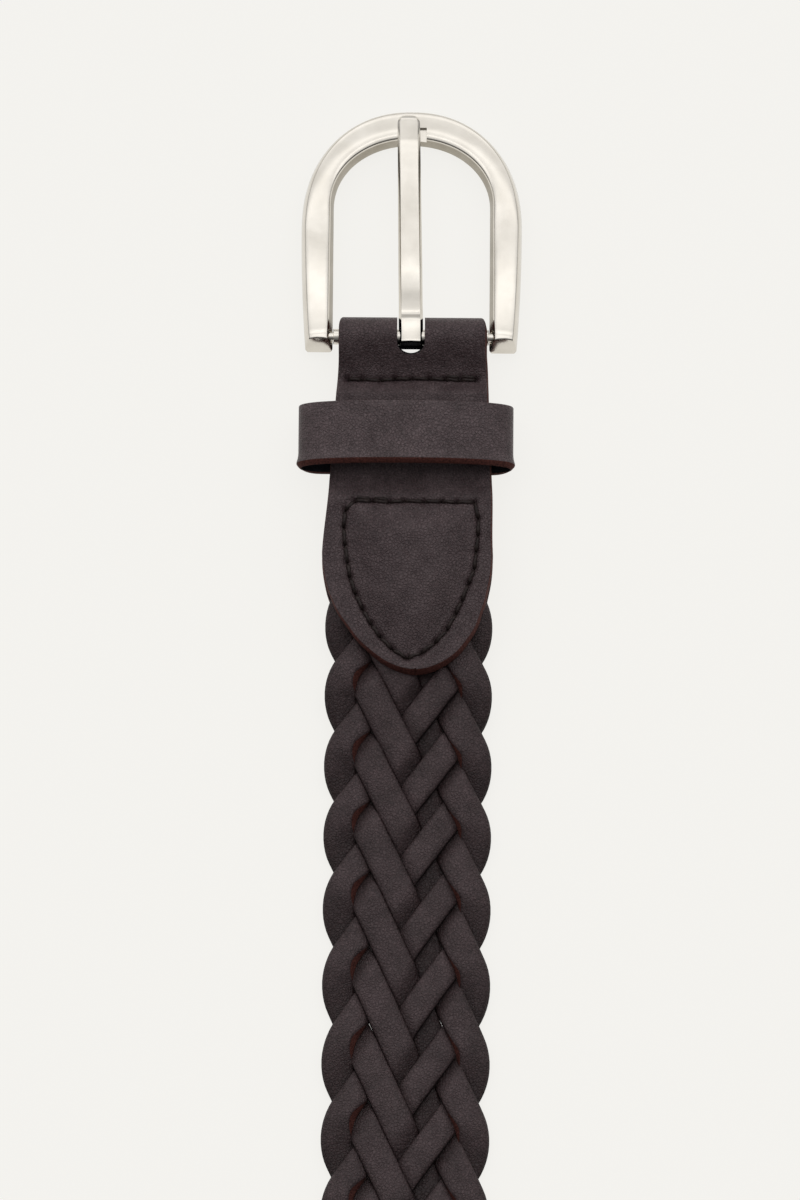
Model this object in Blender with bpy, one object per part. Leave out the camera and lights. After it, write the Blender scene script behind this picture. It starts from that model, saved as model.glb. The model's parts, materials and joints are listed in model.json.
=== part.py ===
"""A braided leather belt, lying flat and straight with its buckle towards +Y.

A folded leather tab carries the buckle and a keeper loop. Seven flat strands are plaited from
inside that tab to a plain two-ply tip. Metres, +Z up, origin on the surface under the middle.
"""

from math import atan, atan2, cos, hypot, pi, sin, sqrt

import bmesh
import bpy
from mathutils import Vector

# Clearances: touching pieces, and the leg of the buckle beside the leather
GAP = 0.0003
LEG_EASE = 0.0005

# The whole belt, from the top of the buckle's arch to the end of the tip
BELT_LENGTH = 1.050

# Leather of the tab and the tip, and of the keeper loop
LEATHER = 0.0020
KEEPER_LEATHER = 0.0015

# Folded buckle tab: widths, where it narrows, and the rows of stitches it is held by
TAB_WIDTH_AT_BAR = 0.0318
TAB_WIDTH = 0.0358
TAB_SHOULDER = 0.0476
TAB_LENGTH = 0.0736
TAB_TIP_WIDTH = 0.0036
TAB_TIP_ROUND = 1.88
FOLD_EASE = 0.0005
STITCH_ROW = 0.0093
SHIELD_START = 0.0368
SHIELD_PAD = 0.0009
TIP_FLARE = 0.0012

# Prong slot in the fold
SLOT_WIDTH = 0.0056
SLOT_END = 0.0041

# Keeper loop
KEEPER_START = 0.0162
KEEPER_WIDTH = 0.0121
KEEPER_REACH = 0.0450
KEEPER_ROOM = 0.0050
KEEPER_SIDE = 0.0006

# Braid
STRANDS = 7
RIGHT_PITCHES = 4
LEFT_PITCHES = 3
PITCH = 0.0159
BRAID_WIDTH = 0.0348
STRAND_WIDTH = 0.0054
STRAND_THICKNESS = 0.0016
TURN_RADIUS = 0.0080
FIRST_TURN = 0.0116
BRAID_START = 0.0385
LIFT_RUN = 0.0360
RAMP_MARGIN = 0.00012

# Plain tip at the free end
TIP_LENGTH = 0.0740
TIP_WIDTH = 0.0350
TIP_POINT = 0.0240
TIP_POINT_ROUND = 1.7
TIP_COVER = 0.0380

# Buckle frame, bar and prong
ARCH_REACH = 0.0490
LEG_WIDTH = 0.0067
LEG_TUCK = 0.0011
LEG_END = 0.0030
ARCH_DEPTH = 0.0257
ARCH_ROUND = 2.17
ARCH_WIDTH = 0.0061
OPENING_DEPTH = 0.0167
OPENING_ROUND = 2.4
FRAME_THICKNESS = 0.0040
FRAME_BEVEL = 0.0013
FRAME_BOW = 0.0008
NOTCH_SPLAY = 0.6
NOTCH_DEPTH = 0.0009
BAR_DIAMETER = 0.0033
PIN_DIAMETER = 0.0020
PIN_DEPTH = 0.0030
PRONG_WIDTH = 0.0050
PRONG_THICKNESS = 0.0022
PRONG_HEEL = 0.0029
PRONG_SHORT = 0.0015
EYE_WALL = 0.0008

# Heights and places that follow
FOLD_INNER = BAR_DIAMETER / 2 + FOLD_EASE
BAR_Z = FOLD_INNER + LEATHER
BAR_Y = BELT_LENGTH / 2 - ARCH_REACH
TAIL_END = BELT_LENGTH - ARCH_REACH
TIP_START = TAIL_END - TIP_LENGTH
BRAID_END = TIP_START + TIP_COVER
BRAID_THICKNESS = 2 * STRAND_THICKNESS + GAP
OVER_PLY = LEATHER + GAP
OVER_KEEPER = OVER_PLY + KEEPER_LEATHER + GAP
OVER_BRAID = OVER_PLY + BRAID_THICKNESS + GAP
KEEPER_END = KEEPER_START + KEEPER_WIDTH
OPENING_HALF = TAB_WIDTH_AT_BAR / 2 + LEG_EASE
OPENING_REACH = ARCH_REACH - ARCH_WIDTH
ARCH_CENTRE = ARCH_REACH - ARCH_DEPTH
OPENING_CENTRE = OPENING_REACH - OPENING_DEPTH
FRAME_HALF = OPENING_HALF + LEG_WIDTH
FRAME_LIFT = BAR_Z - FRAME_THICKNESS / 2


def place(x, along, z):
    """A point from its side offset, its distance from the bar towards the free end, and its height."""
    return Vector((x, BAR_Y - along, z))


def smooth_step(value, low, high):
    share = min(max((value - low) / (high - low), 0.0), 1.0)
    return share * share * (3 - 2 * share)


def straight_step(value, low, high):
    return min(max((value - low) / (high - low), 0.0), 1.0)


def rounded(share, roundness):
    """Half width, as a share, of a superellipse at a share of its length."""
    return (1 - min(share, 1.0) ** roundness) ** (1 / roundness)


def leather_material(name, colour, roughness):
    material = bpy.data.materials.new(name)
    material.use_nodes = True
    shader = material.node_tree.nodes["Principled BSDF"]
    shader.inputs["Base Color"].default_value = (*colour, 1.0)
    shader.inputs["Roughness"].default_value = roughness
    shader.inputs["Metallic"].default_value = 0.0
    return material


def metal_material(name, colour, roughness):
    material = leather_material(name, colour, roughness)
    material.node_tree.nodes["Principled BSDF"].inputs["Metallic"].default_value = 1.0
    return material


def add_piece(name, sections, material, origin=(0.0, 0.0, 0.0), closed=False):
    """One closed body lofted through rings of points, with its origin where it turns or stands."""
    bm = bmesh.new()
    rings = [[bm.verts.new(point - Vector(origin)) for point in ring] for ring in sections]
    pairs = list(zip(rings, rings[1:]))
    if closed:
        pairs.append((rings[-1], rings[0]))
    for ring, following in pairs:
        for k in range(len(ring)):
            after = (k + 1) % len(ring)
            bm.faces.new((ring[k], ring[after], following[after], following[k]))
    if not closed:
        bm.faces.new(rings[0])
        bm.faces.new(rings[-1])
    bmesh.ops.recalc_face_normals(bm, faces=bm.faces)
    mesh = bpy.data.meshes.new(name)
    bm.to_mesh(mesh)
    bm.free()
    mesh.materials.append(material)
    piece = bpy.data.objects.new(name, mesh)
    piece.location = origin
    bpy.context.collection.objects.link(piece)
    return piece


def shade(piece, degrees):
    piece.data.shade_smooth()
    piece.data.set_sharp_from_angle(angle=degrees * pi / 180)


def cut(piece, cutter):
    """Takes the cutter's shape out of the piece, and leaves the cutter as a hidden guide."""
    cutter.hide_render = True
    cutter.display_type = "WIRE"
    modifier = piece.modifiers.new(cutter.name, "BOOLEAN")
    modifier.operation = "DIFFERENCE"
    modifier.object = cutter


def round_ring(axis_x, radius, sides, y, z):
    """A circle of points square to X."""
    return [
        Vector((axis_x, y + radius * cos(2 * pi * k / sides), z + radius * sin(2 * pi * k / sides)))
        for k in range(sides)
    ]


# Leather tab and tip

TAB_COLUMNS = (-1.0, -0.62, 0.0, 0.62, 1.0)


def tab_half_width(along):
    """The tab widens from the bar to its shoulder and then closes in a rounded V."""
    widest = TAB_WIDTH / 2
    if along <= TAB_SHOULDER:
        narrow = TAB_WIDTH_AT_BAR / 2
        return narrow + (widest - narrow) * straight_step(along, SLOT_END, TAB_SHOULDER)
    share = (along - TAB_SHOULDER) / (TAB_LENGTH - TAB_SHOULDER)
    return max(widest * rounded(share, TAB_TIP_ROUND), TAB_TIP_WIDTH / 2)


def front_ply_bottom(along):
    """Height of the underside of the front ply: down to the stitches, over the keeper, over the braid."""
    fold = BAR_Z + FOLD_INNER
    row_end = STITCH_ROW + 0.5 * (KEEPER_START - STITCH_ROW)
    over = (OVER_PLY - fold) * smooth_step(along, 0.0, STITCH_ROW)
    over += (OVER_KEEPER - OVER_PLY) * smooth_step(along, STITCH_ROW, row_end + GAP)
    over += (OVER_BRAID - OVER_KEEPER) * smooth_step(along, KEEPER_END + GAP, SHIELD_START)
    return fold + over


def shield_relief(across, along, half_width):
    """The padded crown between the stitch lines, and the flare of the border at the tip."""
    middle = (SHIELD_START + TAB_LENGTH) / 2
    reach = (TAB_LENGTH - SHIELD_START) / 2
    crown = max(1 - ((along - middle) / reach) ** 2, 0.0) * (1 - across ** 2)
    side = abs(across) * half_width / (TAB_WIDTH / 2)
    down = max(along - TAB_SHOULDER, 0.0) / (TAB_LENGTH - TAB_SHOULDER)
    edge = smooth_step(hypot(side, down), 0.85, 1.0) * smooth_step(down, 0.0, 0.6)
    return SHIELD_PAD * crown + TIP_FLARE * edge


def ply_section(centre_along, centre_z, slope, half_width, relief):
    """Both faces of the leather across the belt, square to a run with the given slope."""
    along_step = -sin(slope) * LEATHER / 2
    z_step = cos(slope) * LEATHER / 2
    upper = []
    lower = []
    for across in TAB_COLUMNS:
        raised = relief(across)
        x = across * half_width
        upper.append(place(x, centre_along + along_step, centre_z + z_step + raised))
        lower.append(place(x, centre_along - along_step, centre_z - z_step + raised))
    return upper + lower[::-1]


# Shares of the tab's length at which its outline or height changes
TAB_TIP_SHARES = (1.0, 0.988, 0.962, 0.92, 0.86, 0.79, 0.71, 0.628, 0.56)
FOLD_FACETS = 6


def front_stations():
    """Distances from the bar, from the tip of the front ply back to the fold."""
    row_end = STITCH_ROW + 0.5 * (KEEPER_START - STITCH_ROW)
    stations = [share * TAB_LENGTH for share in TAB_TIP_SHARES]
    stations += [SHIELD_START, (KEEPER_END + SHIELD_START) / 2, KEEPER_END, KEEPER_START]
    stations += [row_end, (STITCH_ROW + row_end) / 2, STITCH_ROW]
    stations += [STITCH_ROW * share for share in (0.75, 0.5, 0.25)]
    return stations


def add_buckle_tab(leather):
    """Front ply, fold round the bar and back ply in one piece of leather, with the prong slot cut in it."""
    sections = []
    tiny = 0.0001
    for along in front_stations():
        half = tab_half_width(along)
        rise = front_ply_bottom(along + tiny) - front_ply_bottom(along - tiny)
        slope = atan(rise / (2 * tiny))
        centre = front_ply_bottom(along) + LEATHER / 2
        relief = lambda across, a=along, h=half: shield_relief(across, a, h)
        sections.append(ply_section(along, centre, slope, half, relief))
    radius = FOLD_INNER + LEATHER / 2
    for facet in range(FOLD_FACETS + 1):
        turn = pi * facet / FOLD_FACETS
        centre_along = -radius * sin(turn)
        centre_z = BAR_Z + radius * cos(turn)
        half = TAB_WIDTH_AT_BAR / 2
        sections.append(ply_section(centre_along, centre_z, turn, half, lambda across: 0.0))
    for along in [STITCH_ROW] + [share * TAB_LENGTH for share in TAB_TIP_SHARES[::-1]]:
        half = tab_half_width(along)
        sections.append(ply_section(along, LEATHER / 2, pi, half, lambda across: 0.0))
    tab = add_piece("buckle_tab", sections, leather)
    cut(tab, add_slot_cutter(leather))
    shade(tab, 40)


def add_slot_cutter(material):
    """An upright slot with a round end towards the braid."""
    half = SLOT_WIDTH / 2
    far = BAR_Z * 2
    outline = [(-half, -far)]
    outline += [
        (-half * cos(pi * k / 9), SLOT_END - half + half * sin(pi * k / 9)) for k in range(10)
    ]
    outline.append((half, -far))
    levels = (-LEATHER, BAR_Z * 2 + LEATHER)
    rings = [[place(x, along, z) for x, along in outline] for z in levels]
    return add_piece("slot_cutter", rings, material)


def tip_half_width(along):
    """The tip's outline: a rounded V over the braid and a rounded point at the free end."""
    inner = max(TIP_START + (TAB_LENGTH - TAB_SHOULDER) - along, 0.0) / (TAB_LENGTH - TAB_SHOULDER)
    outer = max(along - (TAIL_END - TIP_POINT), 0.0) / TIP_POINT
    width = TIP_WIDTH / 2 * rounded(inner, TAB_TIP_ROUND) * rounded(outer, TIP_POINT_ROUND)
    return max(width, TAB_TIP_WIDTH / 2)


def tip_stations():
    inner = TAB_LENGTH - TAB_SHOULDER
    stations = [TIP_START + inner * share for share in (0.0, 0.04, 0.12, 0.28, 0.5, 0.75, 1.0)]
    level = BRAID_END + LEATHER
    stations += [level, (level + TAIL_END - TIP_POINT) / 2, TAIL_END - TIP_POINT]
    stations += [TAIL_END - TIP_POINT * share for share in (0.75, 0.5, 0.28, 0.12, 0.03, 0.0)]
    return stations


def tip_front_bottom(along):
    drop = smooth_step(along, BRAID_END + LEATHER, TAIL_END - TIP_POINT)
    return OVER_BRAID + (OVER_PLY - OVER_BRAID) * drop


def add_tip(leather):
    """Two plies at the free end, with the braid's ends between them."""
    flat = lambda across: 0.0
    tiny = 0.0001
    front = []
    back = []
    for along in tip_stations():
        half = tip_half_width(along)
        rise = tip_front_bottom(along + tiny) - tip_front_bottom(along - tiny)
        centre = tip_front_bottom(along) + LEATHER / 2
        front.append(ply_section(along, centre, atan(rise / (2 * tiny)), half, flat))
        back.append(ply_section(along, LEATHER / 2, 0.0, half, flat))
    shade(add_piece("tip_front", front, leather), 40)
    shade(add_piece("tip_back", back, leather), 40)


# Keeper loop

KEEPER_SIDE_FACETS = 4
KEEPER_TOP_FACETS = 10
KEEPER_ROUND = 2.4


def keeper_path():
    """Middle line of the loop, from under the front ply round the sides and over the top."""
    low = OVER_PLY + KEEPER_LEATHER / 2
    high = OVER_KEEPER + LEATHER + KEEPER_ROOM + KEEPER_LEATHER / 2
    flat = tab_half_width(KEEPER_END) + KEEPER_SIDE
    reach = KEEPER_REACH / 2 - KEEPER_LEATHER / 2
    waist = low + 0.4 * (high - low)
    right = []
    for k in range(KEEPER_SIDE_FACETS + 1):
        turn = pi / 2 * k / KEEPER_SIDE_FACETS
        right.append((flat + (reach - flat) * sin(turn), waist - (waist - low) * cos(turn)))
    for k in range(1, KEEPER_TOP_FACETS):
        turn = pi / 2 * k / KEEPER_TOP_FACETS
        x = reach * cos(turn) ** (2 / KEEPER_ROUND)
        right.append((x, waist + (high - waist) * sin(turn) ** (2 / KEEPER_ROUND)))
    left = [(-x, z) for x, z in right[::-1]]
    return right + [(0.0, high)] + left


def add_keeper(leather):
    """A closed band of leather round the front ply only, so its back lies between the plies."""
    path = keeper_path()
    sections = []
    for k, (x, z) in enumerate(path):
        before = path[k - 1]
        after = path[(k + 1) % len(path)]
        turn = atan2(after[1] - before[1], after[0] - before[0])
        out_x = sin(turn) * KEEPER_LEATHER / 2
        out_z = -cos(turn) * KEEPER_LEATHER / 2
        sections.append([
            place(x + out_x, KEEPER_START, z + out_z),
            place(x + out_x, KEEPER_END, z + out_z),
            place(x - out_x, KEEPER_END, z - out_z),
            place(x - out_x, KEEPER_START, z - out_z),
        ])
    shade(add_piece("keeper_loop", sections, leather, closed=True), 50)


# Braid

LEFT_TURN_LEVELS = (1.0, 1.0, 0.45, 0.0)
RIGHT_TURN_LEVELS = (1.0, 0.5, 0.0, 0.0)
CROSSING_GAPS = (3 / 14, 1 / 2, 11 / 14)
LEVELS_AFTER = (1.0, 0.0, 1.0)


def braid_slopes():
    """Corner offset of the middle lines, and the angles of the right and left runs from the belt's axis."""
    turn_offset = BRAID_WIDTH / 2 - STRAND_WIDTH / 2
    corner = turn_offset
    for _ in range(8):
        right = atan(2 * corner / (RIGHT_PITCHES * PITCH))
        left = atan(2 * corner / (LEFT_PITCHES * PITCH))
        bulge = cos((right - left) / 2) / cos((right + left) / 2)
        corner = turn_offset - TURN_RADIUS + TURN_RADIUS * bulge
    return corner, right, left


def strand_lift(along):
    """The braid rests on the surface, and rises onto the back ply at each end."""
    at_tab = 1 - straight_step(along, TAB_LENGTH, TAB_LENGTH + LIFT_RUN)
    at_tip = straight_step(along, TIP_START - LIFT_RUN, TIP_START)
    return OVER_PLY * max(at_tab, at_tip)


def strand_section(x, along, side_x, side_along, level):
    """A flat strip's section: its middle, the offset to its right edge, and 0 for under or 1 for over."""
    low = level * (STRAND_THICKNESS + GAP)
    corners = []
    for side, height in ((-1, 1), (1, 1), (1, 0), (-1, 0)):
        at = along + side * side_along
        z = strand_lift(at) + low + height * STRAND_THICKNESS
        corners.append((along, place(x + side * side_x, at, z)))
    return corners


def turn_sections(side, at, corner, right, left):
    """The edge turn at the corner: the strand arrives on top and dives under the next one."""
    start, end = (right, -left) if side > 0 else (-left, right)
    middle = (right + left) / 2
    reach = TURN_RADIUS / cos(middle)
    pull_x = sin(end) - sin(start)
    pull_along = cos(end) - cos(start)
    size = hypot(pull_x, pull_along)
    centre_x = side * corner + reach * pull_x / size
    centre_along = at + reach * pull_along / size
    levels = RIGHT_TURN_LEVELS if side > 0 else LEFT_TURN_LEVELS
    sections = []
    for k, level in enumerate(levels):
        heading = start + (end - start) * k / (len(levels) - 1)
        x = centre_x + side * TURN_RADIUS * cos(heading)
        along = centre_along - side * TURN_RADIUS * sin(heading)
        side_x = cos(heading) * STRAND_WIDTH / 2
        side_along = -sin(heading) * STRAND_WIDTH / 2
        sections.append(strand_section(x, along, side_x, side_along, level))
    return sections


def run_sections(side, at, pitches, corner, own, crossing):
    """One straight run across the braid, which changes level in the gaps between the strands it crosses."""
    angle = own + crossing
    room = (PITCH * sin(crossing) - STRAND_WIDTH) / sin(angle)
    half_ramp = (room / 2 - RAMP_MARGIN) * cos(own) / (pitches * PITCH)
    half_line = STRAND_WIDTH / 2 / sin(angle)
    side_x = sin(crossing) * half_line
    side_along = cos(crossing) * half_line * side
    sections = []
    level = 0.0
    for gap_share, level_after in zip(CROSSING_GAPS, LEVELS_AFTER):
        for share, height in ((gap_share - half_ramp, level), (gap_share + half_ramp, level_after)):
            x = side * corner * (1 - 2 * share)
            along = at + share * pitches * PITCH
            sections.append(strand_section(x, along, side_x, side_along, height))
        level = level_after
    return sections


def add_strand(number, leather):
    """One flat strip of the braid, woven over two and under two from inside the tab to inside the tip."""
    corner, right, left = braid_slopes()
    period = STRANDS * PITCH
    at = FIRST_TURN + number * PITCH - 2 * period
    sections = []
    while at < BRAID_END:
        sections += turn_sections(-1, at, corner, right, left)
        sections += run_sections(-1, at, RIGHT_PITCHES, corner, right, left)
        far = at + RIGHT_PITCHES * PITCH
        sections += turn_sections(1, far, corner, right, left)
        sections += run_sections(1, far, LEFT_PITCHES, corner, left, right)
        at += period
    kept = [ring for ring in sections if BRAID_START <= ring[0][0] <= BRAID_END]
    rings = [[point for _, point in ring] for ring in kept]
    shade(add_piece(f"braid_strand_{number + 1}", rings, leather), 50)


# Buckle

ARCH_FACETS = 22
LEG_SHARES = (0.25, 0.5, 0.75)
LEG_CHAMFER = 0.0010


def frame_bottom(along):
    """The frame rests on its arch, rises to the bar and is gently bowed between."""
    share = min(max((along + ARCH_REACH) / ARCH_REACH, 0.0), 1.08)
    return FRAME_LIFT * share + FRAME_BOW * 4 * share * max(1 - share, 0.0)


def outer_half(along):
    """The outer side of a leg, which draws in slightly towards the bar."""
    share = (along + ARCH_CENTRE) / (LEG_END + ARCH_CENTRE)
    return FRAME_HALF - LEG_TUCK * share ** 2


def frame_section(outer, inner, inset=0.0):
    """A bevelled bar section from the frame's inner edge to its outer edge, seen from above as x and along."""
    run_x = outer[0] - inner[0]
    run_along = outer[1] - inner[1]
    width = hypot(run_x, run_along)
    top = FRAME_BEVEL
    low = 0.6 * FRAME_BEVEL
    high = FRAME_THICKNESS
    profile = (
        (low, inset), (width - low, inset), (width - inset, low), (width - inset, high - 0.8 * top),
        (width - top, high - inset), (top, high - inset), (inset, high - 0.8 * top), (inset, low),
    )
    points = []
    for out, height in profile:
        x = inner[0] + run_x * out / width
        along = inner[1] + run_along * out / width
        points.append(place(x, along, frame_bottom(along) + height))
    return points


def arch_point(turn, half, centre, reach, roundness):
    x = half * abs(cos(turn)) ** (2 / roundness)
    along = -centre - (reach - centre) * sin(turn) ** (2 / roundness)
    return (x if cos(turn) >= 0 else -x, along)


def frame_sections():
    """Sections from the end of the right leg, round the arch, to the end of the left leg."""
    leg = [frame_section((outer_half(LEG_END), LEG_END), (OPENING_HALF, LEG_END), LEG_CHAMFER)]
    shoulder = LEG_END - LEG_CHAMFER
    leg.append(frame_section((outer_half(shoulder), shoulder), (OPENING_HALF, shoulder)))
    for share in LEG_SHARES:
        out_along = shoulder + (-ARCH_CENTRE - shoulder) * share
        in_along = shoulder + (-OPENING_CENTRE - shoulder) * share
        leg.append(frame_section((outer_half(out_along), out_along), (OPENING_HALF, in_along)))
    arch = []
    for k in range(ARCH_FACETS + 1):
        turn = pi * k / ARCH_FACETS
        outer = arch_point(turn, FRAME_HALF, ARCH_CENTRE, ARCH_REACH, ARCH_ROUND)
        inner = arch_point(turn, OPENING_HALF, OPENING_CENTRE, OPENING_REACH, OPENING_ROUND)
        arch.append(frame_section(outer, inner))
    other_leg = [[Vector((-point.x, point.y, point.z)) for point in ring] for ring in leg[::-1]]
    return leg + arch + other_leg


def add_frame(metal, origin):
    """The cast frame, with a notch for the prong's tip and a blind hole for the pin in each leg."""
    frame = add_piece("buckle_frame", frame_sections(), metal, origin)
    floor = FRAME_THICKNESS - NOTCH_DEPTH
    seat = PRONG_WIDTH / 2 + GAP
    flank = seat + NOTCH_SPLAY * FRAME_THICKNESS
    shape = ((-seat, floor), (seat, floor), (flank, floor + FRAME_THICKNESS), (-flank, floor + FRAME_THICKNESS))
    stops = (-ARCH_REACH - LEG_WIDTH, -OPENING_REACH + LEG_WIDTH)
    rings = [[place(x, along, z) for x, z in shape] for along in stops]
    cut(frame, add_piece("notch_cutter", rings, metal))
    hole = PIN_DIAMETER / 2 + GAP
    deep = OPENING_HALF + PIN_DEPTH
    for side, name in ((1, "right"), (-1, "left")):
        ends = (side * (OPENING_HALF - LEG_EASE), side * deep)
        rings = [round_ring(x, hole, 10, BAR_Y, BAR_Z) for x in ends]
        cut(frame, add_piece(f"pin_hole_{name}", rings, metal))
    shade(frame, 30)
    return frame


def add_bar(metal, origin):
    """A steel bar between the legs, with a thinner pin at each end that sits in the leg."""
    thick = BAR_DIAMETER / 2
    thin = PIN_DIAMETER / 2
    shoulder = OPENING_HALF - GAP
    tip = OPENING_HALF + PIN_DEPTH - GAP
    stops = ((-tip, thin), (-shoulder, thin), (-shoulder, thick), (shoulder, thick), (shoulder, thin), (tip, thin))
    rings = [round_ring(x, radius, 12, BAR_Y, BAR_Z) for x, radius in stops]
    bar = add_piece("buckle_bar", rings, metal, origin)
    shade(bar, 40)
    return bar


# Prong sections from tip to heel: distance as a share of the prong's length, width and thickness as
# shares of the prong's own
PRONG_TABLE = (
    # share, width, thickness
    (0.000, 0.56, 0.45),
    (0.012, 0.82, 0.75),
    (0.045, 1.00, 1.00),
    (0.500, 1.00, 1.12),
    (0.930, 1.00, 1.45),
)
EYE_ANGLES = (-60, -30, 0, 30, 55, 75)


def prong_section(along, half, low, high):
    """A flat bar with wide facets along its two upper edges."""
    facet = min(0.3 * half, 0.45 * (high - low))
    shape = (
        (-half, low), (half, low), (half, high - facet), (half - 1.6 * facet, high),
        (-half + 1.6 * facet, high), (-half, high - facet),
    )
    return [place(x, along, z) for x, z in shape]


def add_prong(metal, origin):
    """The prong lies in the notch of the arch and turns on the bar by the eye at its heel."""
    half = PRONG_WIDTH / 2
    length = ARCH_REACH - PRONG_SHORT
    rest = frame_bottom(-ARCH_REACH) + FRAME_THICKNESS - NOTCH_DEPTH + GAP
    heel_top = BAR_Z + PRONG_HEEL
    sections = []
    for share, width, thickness in PRONG_TABLE:
        thick = thickness * PRONG_THICKNESS
        low = rest + (heel_top - 1.45 * PRONG_THICKNESS - rest) * share
        sections.append(prong_section(-length * (1 - share), width * half, low, low + thick))
    eye = BAR_DIAMETER / 2 + GAP + EYE_WALL
    for degrees in EYE_ANGLES:
        turn = degrees * pi / 180
        along = eye * sin(turn)
        low = BAR_Z - eye * cos(turn)
        high = heel_top if along <= 0 else BAR_Z + sqrt(max(PRONG_HEEL ** 2 - along ** 2, 0.0))
        sections.append(prong_section(along, half, low, high))
    prong = add_piece("prong", sections, metal, origin)
    hole = BAR_DIAMETER / 2 + GAP
    rings = [round_ring(x, hole, 12, BAR_Y, BAR_Z) for x in (-PRONG_WIDTH, PRONG_WIDTH)]
    cut(prong, add_piece("eye_cutter", rings, metal))
    shade(prong, 30)
    return prong


def add_buckle(metal, steel):
    """Frame, bar and prong, which all turn on the bar's axis."""
    origin = Vector((0.0, BAR_Y, BAR_Z))
    axis = bpy.data.objects.new("bar_axis", None)
    axis.location = origin
    bpy.context.collection.objects.link(axis)
    bpy.context.view_layer.update()
    for piece in (add_frame(metal, origin), add_bar(steel, origin), add_prong(metal, origin)):
        piece.parent = axis
        piece.matrix_parent_inverse = axis.matrix_world.inverted()


for old in list(bpy.data.objects):
    bpy.data.objects.remove(old, do_unlink=True)

tab_leather = leather_material("tab_leather", (0.054, 0.041, 0.042), 0.55)
strand_leather = leather_material("strand_leather", (0.042, 0.031, 0.031), 0.58)
add_buckle_tab(tab_leather)
add_keeper(tab_leather)
for strand in range(STRANDS):
    add_strand(strand, strand_leather)
add_tip(tab_leather)
add_buckle(
    metal_material("satin_nickel", (0.80, 0.77, 0.72), 0.28),
    metal_material("steel_bar", (0.70, 0.69, 0.67), 0.32),
)
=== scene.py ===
"""A braided leather belt with a satin nickel buckle, laid flat and straight on a pale table."""

import json
from math import atan, atan2, cos, exp, hypot, pi, radians, sin, tan
from random import Random

import bpy
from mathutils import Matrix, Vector
from mathutils.kdtree import KDTree


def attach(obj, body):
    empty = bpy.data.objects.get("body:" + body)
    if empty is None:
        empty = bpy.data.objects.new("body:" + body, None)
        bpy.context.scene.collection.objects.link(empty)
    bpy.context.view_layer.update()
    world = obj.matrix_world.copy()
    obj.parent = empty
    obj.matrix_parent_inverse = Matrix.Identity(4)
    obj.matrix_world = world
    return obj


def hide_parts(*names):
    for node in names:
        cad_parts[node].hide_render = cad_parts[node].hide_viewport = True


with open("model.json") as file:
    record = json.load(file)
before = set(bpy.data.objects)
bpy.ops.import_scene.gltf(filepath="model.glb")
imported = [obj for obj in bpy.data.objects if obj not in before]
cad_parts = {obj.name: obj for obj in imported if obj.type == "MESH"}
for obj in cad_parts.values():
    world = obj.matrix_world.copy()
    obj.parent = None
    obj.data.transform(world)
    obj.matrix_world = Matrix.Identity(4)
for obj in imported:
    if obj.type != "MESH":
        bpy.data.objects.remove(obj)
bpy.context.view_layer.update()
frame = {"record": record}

# Table, light and camera
# The belt lies on a pale table under a wide white studio ceiling, which darkens behind the camera.
# The camera looks down the belt from the tail, 14 degrees off upright.
TABLE_COLOUR = (0.942, 0.930, 0.896)
TABLE_SIZE = 60.0
TABLE_GAP = 0.0001
TABLE_GLOW = 0.88
CAMERA_HEIGHT_DEG = 76.0
CAMERA_ROLL_DEG = 0.44
CAMERA_LENS = 400.0
CAMERA_SENSOR = 36.0
VIEW_HEIGHT = 0.25060
VIEW_CENTRE = Vector((-0.00188, 0.41917, 0.00415))
SKY_BANDS = (
    # degrees from upright towards the arch, brightness
    (-90, 0.05),
    (-60, 0.10),
    (-32, 0.22),
    (-10, 0.52),
    (1, 0.98),
    (7, 1.20),
    (12, 1.85),
    (17.5, 0.88),
    (25, 1.60),
    (33, 1.00),
    (46, 1.08),
    (56, 1.50),
    (68, 0.90),
    (90, 0.50),
)
SIDE_SHADE = 0.45
SIDE_FADE_START = 0.30
SIDE_FADE_END = 0.95

scene = bpy.context.scene
scene.view_settings.view_transform = "Standard"


def add_node(tree, kind, inputs=(), **settings):
    """A shader node, with its settings and with each named input set to a value or joined to a socket."""
    made = tree.nodes.new("ShaderNode" + kind)
    for name, value in settings.items():
        setattr(made, name, value)
    for name, value in inputs:
        if isinstance(value, bpy.types.NodeSocket):
            tree.links.new(value, made.inputs[name])
        else:
            made.inputs[name].default_value = value
    return made


def fill_ramp(ramp, stops):
    """Sets the stops of a colour ramp from rows of place and colour."""
    elements = ramp.color_ramp.elements
    while len(elements) < len(stops):
        elements.new(1.0)
    for element, (place_on_ramp, colour) in zip(elements, stops):
        element.position = place_on_ramp
        element.color = (*colour, 1.0)


bpy.ops.object.select_all(action="DESELECT")
bpy.ops.mesh.primitive_plane_add(size=TABLE_SIZE, location=(0, 0, -TABLE_GAP))
table = bpy.context.object
table.name = "table"
bpy.ops.object.transform_apply(location=True, rotation=True, scale=True)
table_paint = bpy.data.materials.new("table_paint")
table_paint.use_nodes = True
tree = table_paint.node_tree
tree.nodes.clear()
matt = add_node(tree, "BsdfDiffuse", [("Color", (*TABLE_COLOUR, 1.0))])
glow = add_node(tree, "Emission", [("Color", (*TABLE_COLOUR, 1.0)), ("Strength", 1.0)])
blend = add_node(tree, "MixShader", [(0, TABLE_GLOW), (1, matt.outputs[0]), (2, glow.outputs[0])])
add_node(tree, "OutputMaterial", [("Surface", blend.outputs[0])])
table.data.materials.append(table_paint)

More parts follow.
